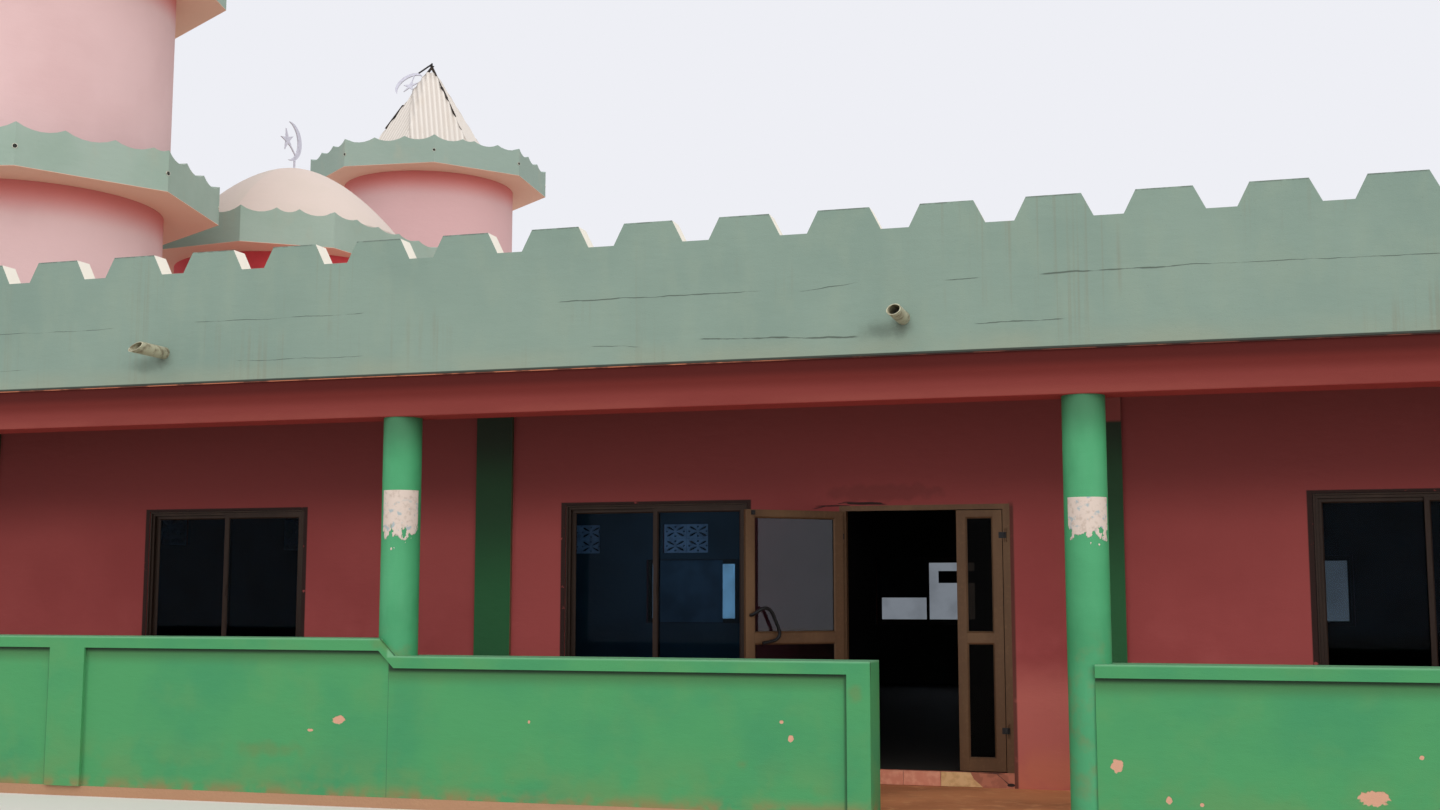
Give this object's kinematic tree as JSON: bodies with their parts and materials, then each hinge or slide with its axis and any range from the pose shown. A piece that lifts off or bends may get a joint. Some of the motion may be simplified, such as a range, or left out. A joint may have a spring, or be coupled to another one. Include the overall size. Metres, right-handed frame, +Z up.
{
  "type": "mosque building",
  "caption": "Single-storey mosque with a front verandah, crenellated parapet, two round towers with sheet roofs and a small dome between them.",
  "frame": {"origin": "on the ground under the middle of the hall floor, on the centre line of the entrance bay", "axes": "+X right along the front, +Y from the verandah into the hall, +Z up"},
  "size_m": [21.7498, 15.7039, 11.3847],
  "materials": {
    "red_plaster": "matt paint on cement render",
    "dark_red_plaster": "matt paint on cement render",
    "sage_plaster": "weathered matt paint on cement render",
    "green_paint": "semi-matt paint on cement render",
    "pink_plaster": "matt paint on cement render",
    "cream_plaster": "matt paint on cement render",
    "roof_sheet": "weathered corrugated sheet",
    "concrete": "bare concrete and screed",
    "bronze_aluminium": "bronze anodised",
    "window_glass": "dark tinted",
    "black_metal": "semi-gloss",
    "silver_metal": "satin",
    "pipe_plastic": "dusty plastic"
  },
  "bodies": {
    "building": {"hall_floor": "concrete", "verandah_floor": "concrete", "front_wall_left": "red_plaster", "front_wall_right": "red_plaster", "front_wall_over_door": "red_plaster", "back_wall": "red_plaster", "left_end_wall": "red_plaster", "right_end_wall": "red_plaster", "verandah_beam": "dark_red_plaster", "roof_slab": "concrete", "front_parapet": "sage_plaster", "back_parapet": "sage_plaster", "left_parapet": "sage_plaster", "right_parapet": "sage_plaster", "roof_spout_1": "pipe_plastic", "roof_spout_2": "pipe_plastic", "roof_spout_3": "pipe_plastic", "column_1": "green_paint", "column_2": "green_paint", "column_3": "green_paint", "column_4": "green_paint", "balustrade_left": "green_paint", "balustrade_right": "green_paint", "front_window_1": "bronze_aluminium", "front_window_glass_1": "window_glass", "front_window_2": "bronze_aluminium", "front_window_glass_2": "window_glass", "front_window_3": "bronze_aluminium", "front_window_glass_3": "window_glass", "back_window_1": "bronze_aluminium", "back_window_glass_1": "window_glass", "back_window_2": "bronze_aluminium", "back_window_glass_2": "window_glass", "back_window_3": "bronze_aluminium", "back_window_glass_3": "window_glass", "door_frame": "bronze_aluminium", "front_tower_lower_drum": "pink_plaster", "front_tower_lower_cornice": "sage_plaster", "front_tower_upper_drum": "pink_plaster", "front_tower_upper_cornice": "sage_plaster", "front_tower_roof": "roof_sheet", "front_tower_crescent": "silver_metal", "back_tower_lower_drum": "pink_plaster", "back_tower_lower_cornice": "sage_plaster", "back_tower_upper_drum": "pink_plaster", "back_tower_upper_cornice": "sage_plaster", "back_tower_roof": "roof_sheet", "back_tower_crescent": "silver_metal", "dome_drum": "dark_red_plaster", "dome_cornice": "sage_plaster", "dome_shell": "cream_plaster", "dome_crescent": "silver_metal"},
    "wide_door_leaf": {"wide_leaf": "bronze_aluminium", "wide_leaf_glass": "window_glass", "door_handle": "black_metal"},
    "narrow_door_leaf": {"narrow_leaf": "bronze_aluminium", "narrow_leaf_glass": "window_glass"}
  },
  "joints": [
    {"name": "wide_leaf_hinge", "type": "hinge", "parent": "building", "child": "wide_door_leaf", "pos_m": [0.525, -6.51, 1.25], "axis": [0, 0, 1], "range_deg": [-27, 138]},
    {"name": "narrow_leaf_hinge", "type": "hinge", "parent": "building", "child": "narrow_door_leaf", "pos_m": [1.855, -6.51, 1.25], "axis": [0, 0, 1], "range_deg": [0, 110]}
  ]
}
